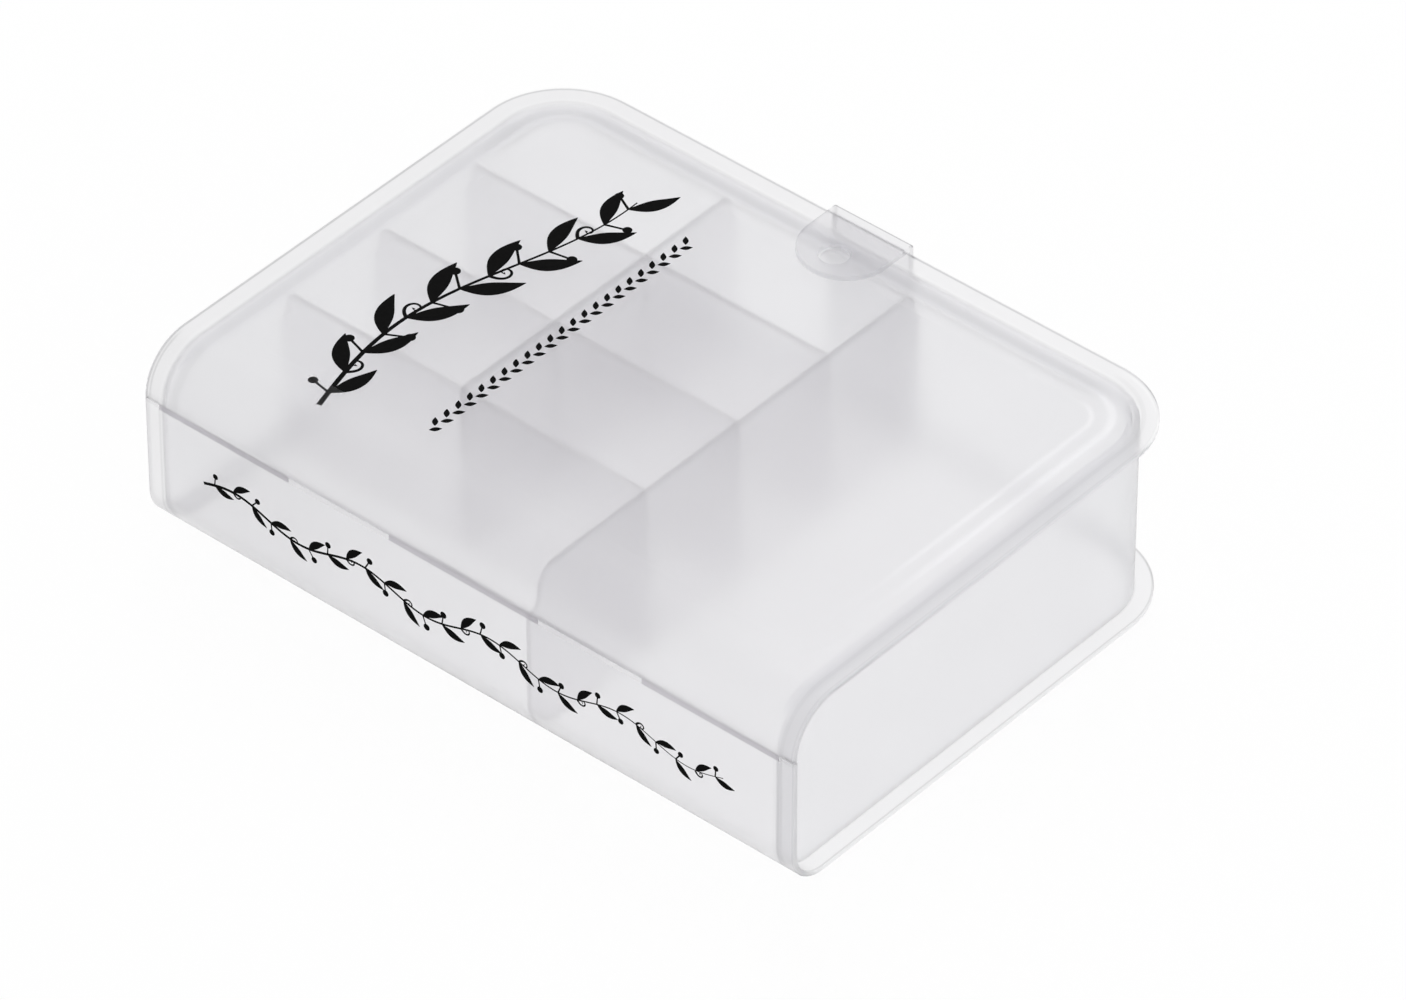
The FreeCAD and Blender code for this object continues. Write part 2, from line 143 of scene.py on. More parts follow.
# Colour multiplied by a tint, fully or by a share
def tinted(tree, place, colour, tint, share=None):
    mix = addNode(tree, "ShaderNodeMix", place, data_type="RGBA", blend_type="MULTIPLY")
    mix.inputs["Factor"].default_value = 1.0
    tree.links.new(colour, mix.inputs["A"])
    tree.links.new(tint, mix.inputs["B"])
    if share:
        tree.links.new(share, mix.inputs["Factor"])
    return mix.outputs["Result"]


# Share that fades in along two axes, between two places in millimetres on each
def fadeIn(tree, split, top, ends, operation):
    fades = []
    for axis, (start, stop) in ends.items():
        fade = addNode(tree, "ShaderNodeMapRange", (-700, top + 250 * len(fades)),
                       {"From Min": start * mm, "From Max": stop * mm})
        fade.interpolation_type = "SMOOTHSTEP"
        tree.links.new(split.outputs[axis], fade.inputs["Value"])
        fades.append(fade.outputs["Result"])
    both = addNode(tree, "ShaderNodeMath", (-500, top), operation=operation)
    tree.links.new(fades[0], both.inputs[0])
    tree.links.new(fades[1], both.inputs[1])
    return both.outputs[0]


# Painted shade and light on a cover: painted zones on its outer face, a slow painted shade drift along X,
# and painted bands on some of its sides
def paintedCoverTone(tree, coords, colour, s):
    split, share = reachOut(tree, coords, s)
    outer = fadeIn(tree, split, 1600, s["outer"], "MAXIMUM")
    paintedZones = toneSteps(tree, (-700, 700), share, s["paintedZones"], s["reach"])
    colour = tinted(tree, (-350, 700), colour, paintedZones, outer)
    start, stop, tone = s["shadeDrift"]
    shadeDrift = addNode(tree, "ShaderNodeMapRange", (-700, 1300),
                    {"From Min": start * mm, "From Max": stop * mm, "To Min": tone, "To Max": 1.0})
    tree.links.new(split.outputs["X"], shadeDrift.inputs["Value"])
    colour = tinted(tree, (-350, 900), colour, shadeDrift.outputs["Result"])
    for count, (ends, steps) in enumerate(s.get("paintedBands", ())):
        top = 2200 + 600 * count
        fade = fadeIn(tree, split, top, ends, "MULTIPLY")
        tones = toneSteps(tree, (-700, top - 250), share, steps, s["reach"])
        colour = tinted(tree, (-350, top), colour, tones, fade)
    return colour


# Painted shade and light on a wall or cover, by height from its foot to its top
def paintedHeightTone(tree, coords, colour, s):
    split = addNode(tree, "ShaderNodeSeparateXYZ", (-1300, 500))
    share = addNode(tree, "ShaderNodeMapRange", (-1000, 500), {"From Max": s["tall"] * mm})
    tree.links.new(coords.outputs["Object"], split.inputs["Vector"])
    tree.links.new(split.outputs["Z"], share.inputs["Value"])
    steps = toneSteps(tree, (-700, 500), share.outputs["Result"], s["paintedHeights"], s["tall"])
    return tinted(tree, (-350, 500), colour, steps)


# Frosted see-through plastic: cloudy inside, with a finely blasted face
def frostedPlastic(name, s):
    material, tree = newMaterial(name)
    link = tree.links.new
    coords = addNode(tree, "ShaderNodeTexCoord", (-1100, 0))
    cloud = addNode(tree, "ShaderNodeTexNoise", (-850, 200),
                    {"Scale": s["cloudScale"], "Detail": s["cloudDetail"], "Roughness": s["cloudRough"]})
    blast = addNode(tree, "ShaderNodeTexNoise", (-850, -250),
                    {"Scale": s["blastScale"], "Detail": s["blastDetail"], "Roughness": s["blastRough"]})
    tone = addNode(tree, "ShaderNodeMix", (-500, 250), data_type="RGBA")
    tone.inputs["A"].default_value = (*s["colour"], 1)
    tone.inputs["B"].default_value = (*s["cloudColour"], 1)
    haze = addNode(tree, "ShaderNodeMapRange", (-500, 0),
                   {"From Min": s["hazeFrom"][0], "From Max": s["hazeFrom"][1],
                    "To Min": s["roughness"] - s["roughnessSpread"],
                    "To Max": s["roughness"] + s["roughnessSpread"]})
    bump = addNode(tree, "ShaderNodeBump", (-500, -250),
                   {"Strength": s["bump"], "Distance": s["bumpDepth"] * mm})
    shader = addNode(tree, "ShaderNodeBsdfPrincipled", (-200, 100),
                     {"Transmission Weight": s["clear"], "IOR": s["ior"]})
    output = addNode(tree, "ShaderNodeOutputMaterial", (150, 100))
    link(coords.outputs["Object"], cloud.inputs["Vector"])
    link(coords.outputs["Object"], blast.inputs["Vector"])
    link(cloud.outputs["Fac"], tone.inputs["Factor"])
    link(cloud.outputs["Fac"], haze.inputs["Value"])
    link(blast.outputs["Fac"], bump.inputs["Height"])
    colour = tone.outputs["Result"]
    # Painted shade and light over the plastic's own tone: by place on a cover, and by height on a wall
    if "paintedZones" in s:
        colour = paintedCoverTone(tree, coords, colour, s)
    if "paintedHeights" in s:
        colour = paintedHeightTone(tree, coords, colour, s)
    link(colour, shader.inputs["Base Color"])
    link(haze.outputs["Result"], shader.inputs["Roughness"])
    link(bump.outputs["Normal"], shader.inputs["Normal"])
    link(shader.outputs["BSDF"], output.inputs["Surface"])
    return material


def dress(material, *names):
    for name in names:
        slots = nodes[name].data.materials
        slots.clear()
        slots.append(material)


# A new piece from a mesh that is in place already, riding on its body
def newPiece(name, bm, material, body=None):
    mesh = bpy.data.meshes.new(name)
    bm.normal_update()
    bm.to_mesh(mesh)
    bm.free()
    mesh.materials.append(material)
    piece = bpy.data.objects.new(name, mesh)
    bpy.context.scene.collection.objects.link(piece)
    if body:
        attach(piece, body)
    return piece


coverSettings = {
    "colour": (0.915, 0.913, 0.922), "cloudColour": (0.888, 0.885, 0.895),
    "cloudScale": 40.0, "cloudDetail": 3.0, "cloudRough": 0.55,
    "roughness": 0.40, "roughnessSpread": 0.02, "hazeFrom": (0.3, 0.7), "clear": 1.0, "ior": 1.12,
    "blastScale": 4000.0, "blastDetail": 2.0, "blastRough": 0.6, "bump": 0.15, "bumpDepth": 0.05,
}
# Painted heights in millimetres, each with its tone: painted shade at a wall's foot, painted light where the
# lid's rib stands behind it and near its top, and painted shade at a divider's foot and along its top
wallSettings = dict(
    coverSettings, ior=1.09, roughness=0.46, colour=(0.93, 0.93, 0.937), cloudColour=(0.905, 0.905, 0.915),
    cloudScale=55.0, tall=60.0,
    paintedHeights=((0, 0.95), (2.2, 0.95), (3.0, 1.0), (50.8, 1.0), (51.2, 1.06), (52.0, 1.06), (52.4, 1.0),
             (52.9, 1.0), (53.1, 1.06), (55.7, 1.06), (55.9, 1.03), (60.0, 1.03)))
dividerSettings = dict(
    wallSettings, ior=1.12, roughness=0.40, colour=(0.961, 0.957, 0.965),
    cloudColour=(0.937, 0.933, 0.943), cloudScale=65.0,
    paintedHeights=((0, 0.92), (2.2, 0.92), (3.0, 1.0), (52.6, 1.0), (52.8, 0.84), (60.0, 0.84)))
ribSettings = dict(
    wallSettings, ior=1.06, colour=(0.965, 0.965, 0.972), cloudColour=(0.945, 0.945, 0.955),
    paintedHeights=((0, 1.0), (60.0, 1.0)))

# Painted zones and painted bands: distances outside the core in millimetres, each with its tone, painted
# shade below 1 and painted light above 1. The wall stands at 18 to 20 and the rim is at 25. Outer says where
# a face counts as the outer one, a painted shade drift runs from one X to another with its first tone, and a
# band says where it fades in.
everywhere = (-200.0, -199.0)
# Painted light on the spine's face: lighter lines towards its ends, at the side walls and along the rim
paintedSpineLines = ({"Y": (-77.0, -79.0), "X": everywhere}, (
    (0, 1.0), (18.2, 1.0), (18.4, 1.06), (19.4, 1.06), (19.6, 1.0), (20.6, 1.04), (24.2, 1.04), (24.4, 1.25),
    (24.9, 1.25), (25.0, 1.0)))
baseSettings = dict(
    # The base: painted shade lines at the wall's foot and at the rim, a darker painted flange, painted shade
    # along the spine's top edge, and painted shade that drifts darker toward the left end
    coverSettings, colour=(0.927, 0.925, 0.934), cloudColour=(0.900, 0.897, 0.907),
    core=(85.0, 55.0), reach=25.0, shadeDrift=(-110.0, 20.0, 0.955), outer={"Z": (0.7, 0.9), "Y": (-76.0, -78.0)},
    tall=60.0, paintedHeights=((0, 1.0), (41.7, 1.0), (41.9, 0.90), (42.8, 0.90), (43.0, 1.0)),
    paintedZones=((0, 1.0), (18.2, 1.0), (18.4, 0.90), (19.5, 0.90), (19.7, 0.79), (20.2, 0.79), (20.5, 0.94),
           (24.3, 0.94), (24.5, 0.66), (24.85, 0.66), (25.0, 0.95)),
    paintedBands=(paintedSpineLines,))

# On the lid: painted highlights where the panel's right border would catch the light, a painted right rim of
# light and shade, and painted shade on the border round its left and back
paintedGlints = ({"X": (83.0, 90.0), "Y": (-40.0, 0.0)}, (
    (0, 1.0), (6.5, 1.0), (7.3, 1.095), (7.8, 1.095), (8.6, 1.0), (11.2, 1.0), (12.4, 1.095), (13.4, 1.095),
    (14.4, 1.0)))
# Painted light and shade along the lid's right rim
paintedRightRim = ({"X": (83.0, 90.0), "Y": everywhere}, (
    (0, 1.0), (20.2, 1.0), (20.4, 0.93), (21.3, 0.93), (21.7, 1.0), (23.9, 1.0), (24.1, 1.35), (24.45, 1.35),
    (24.65, 1.0)))
# Painted shade on the lid's border round its left, back and front, with a thin painted light line
paintedLeftBorder = ({"X": (95.0, 85.0), "Y": everywhere}, (
    (0, 1.0), (13.4, 1.0), (13.8, 0.95), (14.5, 0.935), (15.5, 0.935), (16.2, 0.95), (16.8, 0.96),
    (17.2, 1.04), (17.9, 1.04), (18.3, 0.90), (18.9, 0.83), (19.2, 0.90), (19.6, 1.0)))
# Painted shade on the lid's back border
paintedBackBorder = ({"X": (95.0, 80.0), "Y": (35.0, 52.0)}, (
    (0, 1.0), (9.5, 1.0), (10.5, 0.96), (11.5, 0.88), (12.0, 0.90), (12.5, 1.0), (13.0, 1.0), (13.5, 0.95),
    (14.0, 0.93), (15.0, 0.91), (15.5, 0.92), (16.5, 0.95), (17.2, 1.0)))
# The lid: painted shade below 43.7 mm, a darker painted flange and a painted dark rim line
lidSettings = dict(
    baseSettings, colour=(0.905, 0.903, 0.912), cloudColour=(0.878, 0.875, 0.885),
    outer={"Z": (56.9, 57.1), "Y": (-64.0, -70.0)},
    paintedHeights=((0, 0.90), (43.7, 0.90), (43.9, 1.0), (60.0, 1.0)),
    paintedZones=((0, 1.0), (19.8, 1.0), (20.5, 0.97), (23.9, 0.97), (24.1, 0.66), (24.45, 0.66), (24.65, 0.97)),
    paintedBands=(paintedGlints, paintedRightRim, paintedLeftBorder, paintedBackBorder))

# Painted shade on the latch along its sides and its fold
paintedSideShade = ({"Y": (79.9, 80.2), "Z": (-10.0, -9.0)}, (
    (0, 1.0), (1.5, 1.0), (1.65, 0.65), (1.95, 0.65), (2.0, 0.88)))
paintedFoldShade = ({"Y": (80.7, 80.9), "Z": (58.9, 59.2)}, ((0, 0.55), (2.0, 0.55)))
latchSettings = dict(
    coverSettings, ior=1.1, roughness=0.32, bump=0.05,
    core=(11.25, 200.0), reach=2.0, shadeDrift=(0.0, 1.0, 1.0), outer={"Z": (-1.0, 0.0), "Y": (0.0, 1.0)},
    paintedZones=((0, 1.0), (2.0, 1.0)), paintedBands=(paintedSideShade, paintedFoldShade))
# The films' darker colour is painted shade
filmShadeSettings = dict(coverSettings, colour=(0.75, 0.735, 0.76), cloudColour=(0.71, 0.695, 0.72))

basePlastic = frostedPlastic("frosted_base", baseSettings)
lidPlastic = frostedPlastic("frosted_lid", lidSettings)
wallPlastic = frostedPlastic("frosted_wall", wallSettings)
dividerPlastic = frostedPlastic("frosted_divider", dividerSettings)
ribPlastic = frostedPlastic("frosted_rib", ribSettings)
latchPlastic = frostedPlastic("clear_latch", latchSettings)
filmPlastic = frostedPlastic("thin_film", filmShadeSettings)

dress(basePlastic, "base_cover")
dress(lidPlastic, "lid_cover")
dress(latchPlastic, "latch_clasp")
print("plastics set")


# Walls and dividers with soft moulded rims. Each reaches a little into the pieces that it is
# moulded to: where two faces meet in one place the light goes dark, and a gap shows as a line.
gap = -0.03  # millimetres, below zero where pieces reach into each other
rimSettings = {
    "page_wall": {"rim": 0.35, "across": None, "hangs": False, "low": (0, gap, gap), "high": (0, 0, 0)},
    "lid_rib": {"rim": 0.3, "across": None, "hangs": True, "low": (0, gap, 0), "high": (0, 0, gap)},
    "long_divider": {"rim": 0.35, "across": 0, "low": (0, gap, gap), "high": (0, gap, 0)},
    "cross_divider": {"rim": 0.35, "across": 1, "low": (gap, 0, gap), "high": (gap, 0, 0)},
    "short_divider": {"rim": 0.35, "across": 0, "low": (0, gap, gap), "high": (0, gap, 0)},
}
# What counts as one place, as a corner, and as a face that looks along, across, down or up
limits = {
    "same": 0.002 * mm, "corner": math.radians(60), "along": 0.99, "across": 0.01, "down": 0.5, "up": 0.05,
}
softSettings = {
    "weld": 0.001 * mm, "flat": math.radians(0.5), "segments": 3, "profile": 0.5, "sharp": math.radians(40),
}


# Whether a narrow face lies against another piece: it stands at the node's end or faces down
def touches(face, low, high, across):
    if across is None:
        return False
    for axis in (0, 1, 2):
        if axis == across:
            continue
        for limit in (low[axis], high[axis]):
            flat = all(abs(v.co[axis] - limit) < limits["same"] for v in face.verts)
            if flat and not (axis == 2 and limit == high[2]):
                return True
    return face.normal.z < -limits["across"]


# Edges to soften: the free edge of a wall that goes round, or a divider's edges where it is free
def rimEdges(bm, low, high, s):
    across, edges = s["across"], []
    for edge in bm.edges:
        if len(edge.link_faces) != 2 or edge.calc_face_angle(0) < limits["corner"]:
            continue
        if across is None:
            if s["hangs"]:
                free = any(f.normal.z < -limits["down"] for f in edge.link_faces)
                free = free and all(abs(v.co.z - low[2]) <= limits["same"] for v in edge.verts)
            else:
                free = any(f.normal.z > limits["up"] for f in edge.link_faces)
            if free:
                edges.append(edge)
            continue
        broad = [f for f in edge.link_faces if abs(f.normal[across]) > limits["along"]]
        narrow = [f for f in edge.link_faces if abs(f.normal[across]) < limits["across"]]
        if len(broad) == 1 and len(narrow) == 1 and not touches(narrow[0], low, high, across):
            edges.append(edge)
    return edges


# Copy of a node, with its free edges softened and its touching ends stretched to their gap
def softCopy(node, s, material):
    low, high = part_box(node)
    soft = softSettings
    bm = bmesh.new()
    bm.from_mesh(nodes[node].data)
    bmesh.ops.remove_doubles(bm, verts=bm.verts, dist=soft["weld"])
    bmesh.ops.dissolve_limit(bm, angle_limit=soft["flat"], verts=bm.verts, edges=bm.edges)
    bmesh.ops.bevel(bm, geom=rimEdges(bm, low, high, s), offset=s["rim"] * mm, affect="EDGES",
                    segments=soft["segments"], profile=soft["profile"], clamp_overlap=True, material=-1)
    scale, shift = [], []
    for axis in range(3):
        size = high[axis] - low[axis]
        share = 1 - (s["low"][axis] + s["high"][axis]) * mm / size
        scale.append(share)
        shift.append(low[axis] * (1 - share) + s["low"][axis] * mm)
    bmesh.ops.scale(bm, vec=scale, verts=bm.verts)
    bmesh.ops.translate(bm, vec=shift, verts=bm.verts)
    for face in bm.faces:
        face.smooth = True
    piece = newPiece(node + "_soft", bm, material, "lid" if node == "lid_rib" else "base")
    piece.data.set_sharp_from_angle(angle=soft["sharp"])
    piece.modifiers.new("even_shading", "WEIGHTED_NORMAL").keep_sharp = True
    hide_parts(node)
    return piece


softPlastics = {"page_wall": wallPlastic, "lid_rib": ribPlastic}
for node in sorted(nodes):
    kind = node.rsplit("_", 1)[0] if "divider_" in node else node
    if kind in rimSettings:
        softCopy(node, rimSettings[kind], softPlastics.get(kind, dividerPlastic))
print("walls and dividers made")

# Films of the lid's hinge and of the latch: flat upright strips at the hinge, and a quarter bend at the
# latch
filmSettings = {
    "thickness": 0.4, "gap": gap, "steps": 14, "end": 0.25,
    "hinge": ("hinge_strip_left", "hinge_strip_middle", "hinge_strip_right"),
    "latch": "latch_hinge_strip",
}


# An upright strip with rounded ends, cut into steps along its height
def hingeFilm(node, s):
    low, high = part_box(node)
    soft = softSettings
    bm = bmesh.new()
    size = high - low - Vector((0, 0, 2 * s["gap"] * mm))
    bmesh.ops.create_cube(bm, size=1)
    bmesh.ops.scale(bm, vec=size, verts=bm.verts)
    bmesh.ops.translate(bm, vec=(low + high) / 2, verts=bm.verts)
    upright = [e for e in bm.edges if abs((e.verts[0].co - e.verts[1].co).z) > size.z / 2]
    bmesh.ops.bevel(bm, geom=upright, offset=s["end"] * s["thickness"] * mm, affect="EDGES",
                    segments=soft["segments"], profile=soft["profile"], clamp_overlap=True, material=-1)
    for step in range(1, s["steps"]):
        height = low.z + s["gap"] * mm + size.z * step / s["steps"]
        bmesh.ops.bisect_plane(bm, geom=bm.verts[:] + bm.edges[:] + bm.faces[:],
                               plane_co=(0, 0, height), plane_no=(0, 0, 1))
    for face in bm.faces:
        face.smooth = True
    piece = newPiece(node + "_film", bm, filmPlastic)
    piece.data.set_sharp_from_angle(angle=softSettings["sharp"])
    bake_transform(piece)
    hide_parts(node)


# A quarter of a bend between the base's back edge and the latch, made by a spin
def latchFilm(node, s):
    low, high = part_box(node)
    bm = bmesh.new()
    start = bmesh.ops.create_grid(bm, x_segments=1, y_segments=1, size=0.5)["verts"]
    width, thick = high.x - low.x, s["thickness"] * mm
    bmesh.ops.scale(bm, vec=(width, thick, 1), verts=start)
    bmesh.ops.rotate(bm, cent=(0, 0, 0), matrix=Matrix.Rotation(math.radians(-90), 3, "X"), verts=start)
    centre = Vector((0, low.y, high.z))
    middle = high.y - low.y - thick / 2
    bmesh.ops.translate(bm, vec=centre + Vector((0, 0, -middle)), verts=start)
    turn = math.radians(90) - 2 * s["gap"] * mm / middle
    bmesh.ops.rotate(bm, cent=centre, verts=start,
                     matrix=Matrix.Rotation(s["gap"] * mm / middle, 3, "X"))
    bmesh.ops.spin(bm, geom=bm.faces[:], cent=centre, axis=(1, 0, 0), angle=turn,
                   steps=s["steps"], use_duplicate=False)
    bmesh.ops.recalc_face_normals(bm, faces=bm.faces)
    for face in bm.faces:
        face.smooth = True
    piece = newPiece(node + "_film", bm, filmPlastic)
    piece.data.set_sharp_from_angle(angle=softSettings["sharp"])
    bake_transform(piece)
    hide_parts(node)


for node in filmSettings["hinge"]:
    hingeFilm(node, filmSettings)
latchFilm(filmSettings["latch"], filmSettings)
print("films made")

# Flat black print: strokes that swell and thin out, laid on the lid's panel and on the spine
inkSettings = {
    "colour": (0.002, 0.002, 0.002), "worn": (0.006, 0.006, 0.006), "grain": 900.0, "detail": 2.0,
    "roughness": 0.9, "gloss": 0.04,
    "thick": 0.03, "lift": 0.01, "sides": 3, "smooth": 5, "order": 4, "around": 18, "rings": 8,
}


def flatInk(name, s):
    material, tree = newMaterial(name)
    link = tree.links.new
    coords = addNode(tree, "ShaderNodeTexCoord", (-800, 0))
    grain = addNode(tree, "ShaderNodeTexNoise", (-600, 0), {"Scale": s["grain"], "Detail": s["detail"]})
    tone = addNode(tree, "ShaderNodeMix", (-350, 100), data_type="RGBA")
    tone.inputs["A"].default_value = (*s["colour"], 1)
    tone.inputs["B"].default_value = (*s["worn"], 1)
    shader = addNode(tree, "ShaderNodeBsdfPrincipled", (-100, 100),
                     {"Roughness": s["roughness"], "Specular IOR Level": s["gloss"]})
    output = addNode(tree, "ShaderNodeOutputMaterial", (200, 100))
    link(coords.outputs["Object"], grain.inputs["Vector"])
    link(grain.outputs["Fac"], tone.inputs["Factor"])
    link(tone.outputs["Result"], shader.inputs["Base Color"])
    link(shader.outputs["BSDF"], output.inputs["Surface"])
    return material


leafWidths = (0.1, 0.75, 1.0, 0.6, 0.04)
curlSettings = {"steps": 12, "thinner": 0.7, "tighter": 1.3, "shorter": 0.75}


# A leaf is one stroke along its bent rib, by shares of its width
def leaf(u, v, turn, length, width, bend):
    stroke, quarters = [], len(leafWidths) - 1
    step = length / quarters
    for at, share in enumerate(leafWidths):
        stroke.append((u, v, share * width / 2))
        way = math.radians(turn + bend * at / quarters)
        u, v = u + step * math.cos(way), v + step * math.sin(way)
    return stroke


# A curl is one stroke that winds in on itself and ends in a dot
def curl(u, v, turn, reach, wind, width):
    s = curlSettings
    stroke, steps = [], s["steps"]
    for at in range(steps + 1):
        stroke.append((u, v, width / 2 * (1 - s["thinner"] * at / steps)))
        way = math.radians(turn + wind * (at / steps) ** s["tighter"])
        step = reach / steps * (1 - s["shorter"] * at / steps)
        u, v = u + step * math.cos(way), v + step * math.sin(way)
    return stroke + [(u, v, width / 2)]


# Strokes and berries drawn in a plane, made mesh, pressed flat and laid in their place
def printPiece(name, strokes, berries, place, body, s):
    curve = bpy.data.curves.new(name, "CURVE")
    curve.dimensions = "3D"
    curve.twist_mode = "Z_UP"
    curve.bevel_depth, curve.bevel_resolution = mm, s["sides"]
    curve.resolution_u = s["smooth"]
    curve.use_fill_caps = True
    for stroke in strokes:
        spline = curve.splines.new("NURBS")
        spline.points.add(len(stroke) - 1)
        for point, (u, v, radius) in zip(spline.points, stroke):
            point.co = (u * mm, v * mm, 0, 1)
            point.radius = radius
        spline.order_u = s["order"]
        spline.use_endpoint_u = True
    drawn = bpy.data.objects.new(name, curve)
    bm = bmesh.new()
    for u, v, radius in berries:
        bmesh.ops.create_uvsphere(bm, u_segments=s["around"], v_segments=s["rings"], radius=radius * mm,
                                  matrix=Matrix.Translation((u * mm, v * mm, 0)))
    drawnMesh = bpy.data.meshes.new_from_object(drawn)
    bm.from_mesh(drawnMesh)
    bpy.data.objects.remove(drawn)
    bpy.data.curves.remove(curve)
    bpy.data.meshes.remove(drawnMesh)
    tallest = max(vertex.co.z for vertex in bm.verts)
    bmesh.ops.scale(bm, vec=(1, 1, s["thick"] * mm / tallest / 2), verts=bm.verts)
    bmesh.ops.translate(bm, vec=(0, 0, s["lift"] * mm), verts=bm.verts)
    bmesh.ops.transform(bm, matrix=place, verts=bm.verts)
    bmesh.ops.recalc_face_normals(bm, faces=bm.faces)
    for face in bm.faces:
        face.smooth = True
    return newPiece(name, bm, blackInk, body)


# Plane of a print: where it starts, which way it runs and which way it stands up
def printPlane(start, along, up):
    along, up = Vector(along), Vector(up)
    turn = Matrix((along, up, along.cross(up))).transposed().to_4x4()
    return Matrix.Translation(Vector(start) * mm) @ turn


# How a vine grows: a stem that thins out, leaves that are fullest near its middle, and between
# them a curl or a berry on its stalk, both leaning back
vineHabit = {
    "steps": 40, "root": 1.1, "thinner": 0.8, "firstLeaf": 0.6, "fullest": 0.45, "smaller": 0.35,
    "lean": 22.0, "curlEvery": 3, "curlAt": 1, "curlReach": 1.15, "curlTurn": 400.0, "curlWidth": 0.8,
    "stalkReach": 0.42, "stalkEnd": 0.3, "stalkMiddle": 0.25,
}
# A sprig across the lid's left part, where the eye expects a title
sprigSettings = {
    "start": -66.0, "end": 50.0, "height": 15.5, "sway": 7.0, "wave": 150.0, "stem": 1.4,
    "leaves": 13, "leaf": 18.0, "leafWidth": 6.4, "spread": 42.0, "bend": 36.0, "berry": 1.6,
}
rowSettings = {
    "start": -55.0, "end": 45.0, "height": 1.5, "count": 46, "leaf": 3.4, "leafWidth": 1.9, "spread": 40.0,
}
garlandSettings = {
    "start": -90.0, "end": 87.0, "height": 6.2, "sway": 2.6, "wave": 44.0, "stem": 0.85,
    "leaves": 27, "leaf": 8.2, "leafWidth": 2.9, "spread": 44.0, "bend": 42.0, "berry": 1.05,
}


# Height of a swaying stem at a place along it, and its slope there
def swayAt(u, s):
    way = 2 * math.pi * (u - s["start"]) / s["wave"]
    slope = s["sway"] * 2 * math.pi / s["wave"] * math.cos(way)
    return s["height"] + s["sway"] * math.sin(way), math.degrees(math.atan(slope))


# A berry's stalk, and the berry at its tip
def stalk(u, v, way, size, s, habit):
    reach = s["leaf"] * habit["stalkReach"] * size
    tipU, tipV = u + reach * math.cos(math.radians(way)), v + reach * math.sin(math.radians(way))
    end, middle = s["stem"] * habit["stalkEnd"], s["stem"] * habit["stalkMiddle"]
    stroke = [(u, v, end), (u + (tipU - u) / 3, v + (tipV - v) / 3, middle),
              (u + (tipU - u) / 1.5, v + (tipV - v) / 1.5, middle), (tipU, tipV, end)]
    return stroke, (tipU, tipV, s["berry"] * size)


# A swaying stem with leaves left and right of it in turn, and a berry or curl between them
def vine(s, habit):
    length, steps = s["end"] - s["start"], habit["steps"]
    stem = []
    for at in range(steps + 1):
        u = s["start"] + length * at / steps
        stem.append((u, swayAt(u, s)[0], s["stem"] / 2 * (habit["root"] - habit["thinner"] * at / steps)))
    strokes, berries = [stem], []
    for at in range(s["leaves"]):
        share = (at + habit["firstLeaf"]) / s["leaves"]
        u = s["start"] + length * share
        v, slope = swayAt(u, s)
        side = 1 if at % 2 else -1
        size = 1.0 - habit["smaller"] * abs(share - habit["fullest"])
        strokes.append(leaf(u, v, slope + side * s["spread"], s["leaf"] * size, s["leafWidth"] * size,
                            -side * s["bend"]))
        back = slope - side * (s["spread"] + habit["lean"])
        if at % habit["curlEvery"] == habit["curlAt"]:
            strokes.append(curl(u, v, back, s["leaf"] * habit["curlReach"] * size, side * habit["curlTurn"],
                                s["stem"] * habit["curlWidth"]))
        else:
            stroke, berry = stalk(u, v, back, size, s, habit)
            strokes.append(stroke)
            berries.append(berry)
    return strokes, berries


# Small leaves in a straight row, turned up and down by turns
def leafRow(s):
    row, step = [], (s["end"] - s["start"]) / (s["count"] - 1)
    for at in range(s["count"]):
        side = 1 if at % 2 else -1
        row.append(leaf(s["start"] + step * at, s["height"], side * s["spread"],
                        s["leaf"], s["leafWidth"], 0))
    return row


blackInk = flatInk("black_ink", inkSettings)
# Each print starts at a point in millimetres, and has a direction along it and one up from it
sprigPlane = printPlane((-46.0, 0, 57.55), (0, 1, 0), (-1, 0, 0))
rowPlane = printPlane((-32.0, 0, 57.55), (0, 1, 0), (-1, 0, 0))
garlandPlane = printPlane((0, -80.0, 18.7), (1, 0, 0), (0, 0, 1))
strokes, berries = vine(sprigSettings, vineHabit)
printPiece("sprig_print", strokes, berries, sprigPlane, "lid", inkSettings)
printPiece("row_print", leafRow(rowSettings), [], rowPlane, "lid", inkSettings)
strokes, berries = vine(garlandSettings, vineHabit)
printPiece("garland_print", strokes, berries, garlandPlane, "base", inkSettings)
print("prints made")

# Floor and light
floorSettings = {"size": 6.0, "below": 0.2, "colour": (0.9, 0.9, 0.9), "glow": 0.95}
worldSettings = {"light": 0.7}
lampSettings = [
    {"name": "key_lamp", "place": (-900, 900, 1500), "target": (0, 0, 30), "size": 1200, "power": 14.0},
    {"name": "side_lamp", "place": (1500, -300, 900), "target": (0, 0, 30), "size": 900, "power": 5.0},
]


# Share of plain white that a ray sees: all of it in a reflection or through the plastic,
# and the given share straight from the camera
def whiteShare(tree, direct):
    link = tree.links.new
    path = addNode(tree, "ShaderNodeLightPath", (-1000, 300))
    seen = addNode(tree, "ShaderNodeMath", (-800, 400), operation="MULTIPLY")
    seen.inputs[1].default_value = direct
    bounced = addNode(tree, "ShaderNodeMath", (-800, 200), operation="MAXIMUM")
    share = addNode(tree, "ShaderNodeMath", (-600, 300), operation="MAXIMUM")
    link(path.outputs["Is Camera Ray"], seen.inputs[0])
    link(path.outputs["Is Glossy Ray"], bounced.inputs[0])
    link(path.outputs["Is Transmission Ray"], bounced.inputs[1])
    link(seen.outputs[0], share.inputs[0])
    link(bounced.outputs[0], share.inputs[1])
    return share.outputs[0]


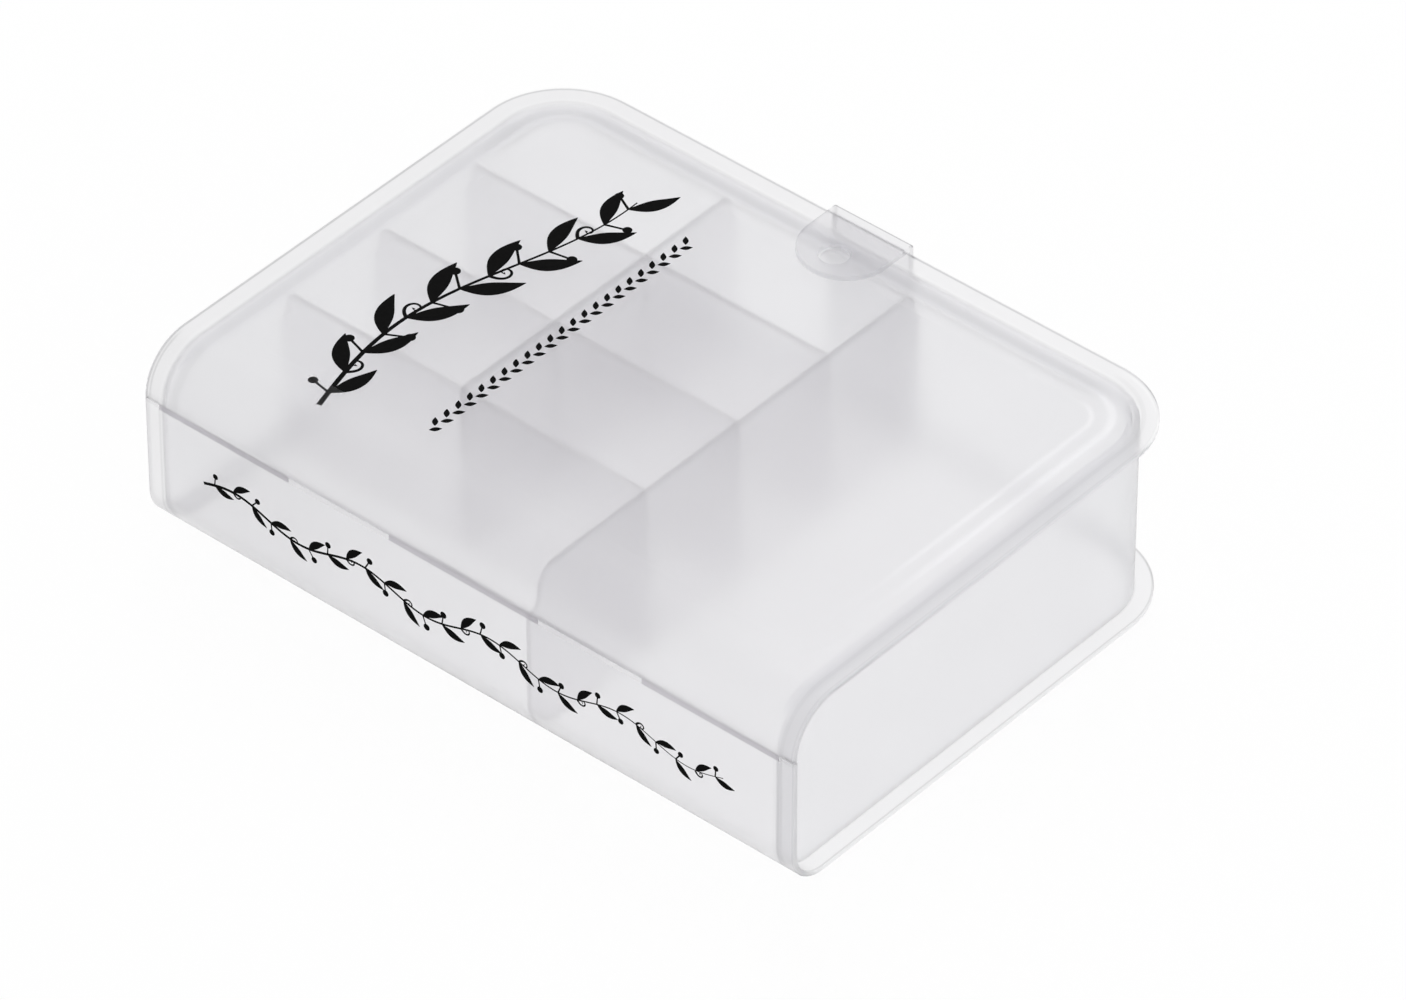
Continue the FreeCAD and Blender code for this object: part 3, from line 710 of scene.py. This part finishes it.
def setFloor(s):
    mesh = bpy.data.meshes.new("floor")
    bm = bmesh.new()
    bmesh.ops.create_grid(bm, x_segments=1, y_segments=1, size=s["size"] / 2,
                          matrix=Matrix.Translation((0, 0, -s["below"] * mm)))
    bm.to_mesh(mesh)
    bm.free()
    floor = bpy.data.objects.new("floor", mesh)
    bpy.context.scene.collection.objects.link(floor)
    material, tree = newMaterial("floor_paper")
    link = tree.links.new
    matt = addNode(tree, "ShaderNodeBsdfDiffuse", (-200, 100), {"Color": (*s["colour"], 1)})
    glow = addNode(tree, "ShaderNodeEmission", (-200, -100), {"Strength": 1.0})
    mix = addNode(tree, "ShaderNodeMixShader", (50, 100))
    output = addNode(tree, "ShaderNodeOutputMaterial", (250, 100))
    link(whiteShare(tree, s["glow"]), mix.inputs[0])
    link(matt.outputs[0], mix.inputs[1])
    link(glow.outputs[0], mix.inputs[2])
    link(mix.outputs[0], output.inputs["Surface"])
    mesh.materials.append(material)


def setWorld(s):
    world = bpy.data.worlds.new("studio")
    bpy.context.scene.world = world
    world.use_nodes = True
    tree = world.node_tree
    tree.nodes.clear()
    link = tree.links.new
    soft = addNode(tree, "ShaderNodeBackground", (0, 100), {"Strength": s["light"]})
    white = addNode(tree, "ShaderNodeBackground", (0, -100), {"Strength": 1.0})
    for node in (soft, white):
        node.inputs["Color"].default_value = (1, 1, 1, 1)
    mix = addNode(tree, "ShaderNodeMixShader", (250, 100))
    output = addNode(tree, "ShaderNodeOutputWorld", (450, 100))
    link(whiteShare(tree, 1.0), mix.inputs[0])
    link(soft.outputs[0], mix.inputs[1])
    link(white.outputs[0], mix.inputs[2])
    link(mix.outputs[0], output.inputs["Surface"])


def setLamp(s):
    data = bpy.data.lights.new(s["name"], "AREA")
    data.shape, data.size, data.energy = "DISK", s["size"] * mm, s["power"]
    lamp = bpy.data.objects.new(s["name"], data)
    bpy.context.scene.collection.objects.link(lamp)
    place = Vector(s["place"]) * mm
    aim = (place - Vector(s["target"]) * mm).to_track_quat("Z", "Y")
    lamp.matrix_world = Matrix.Translation(place) @ aim.to_matrix().to_4x4()


setFloor(floorSettings)
setWorld(worldSettings)
for settings in lampSettings:
    setLamp(settings)
print("floor and light set")

bpy.context.scene.view_settings.view_transform = "Standard"
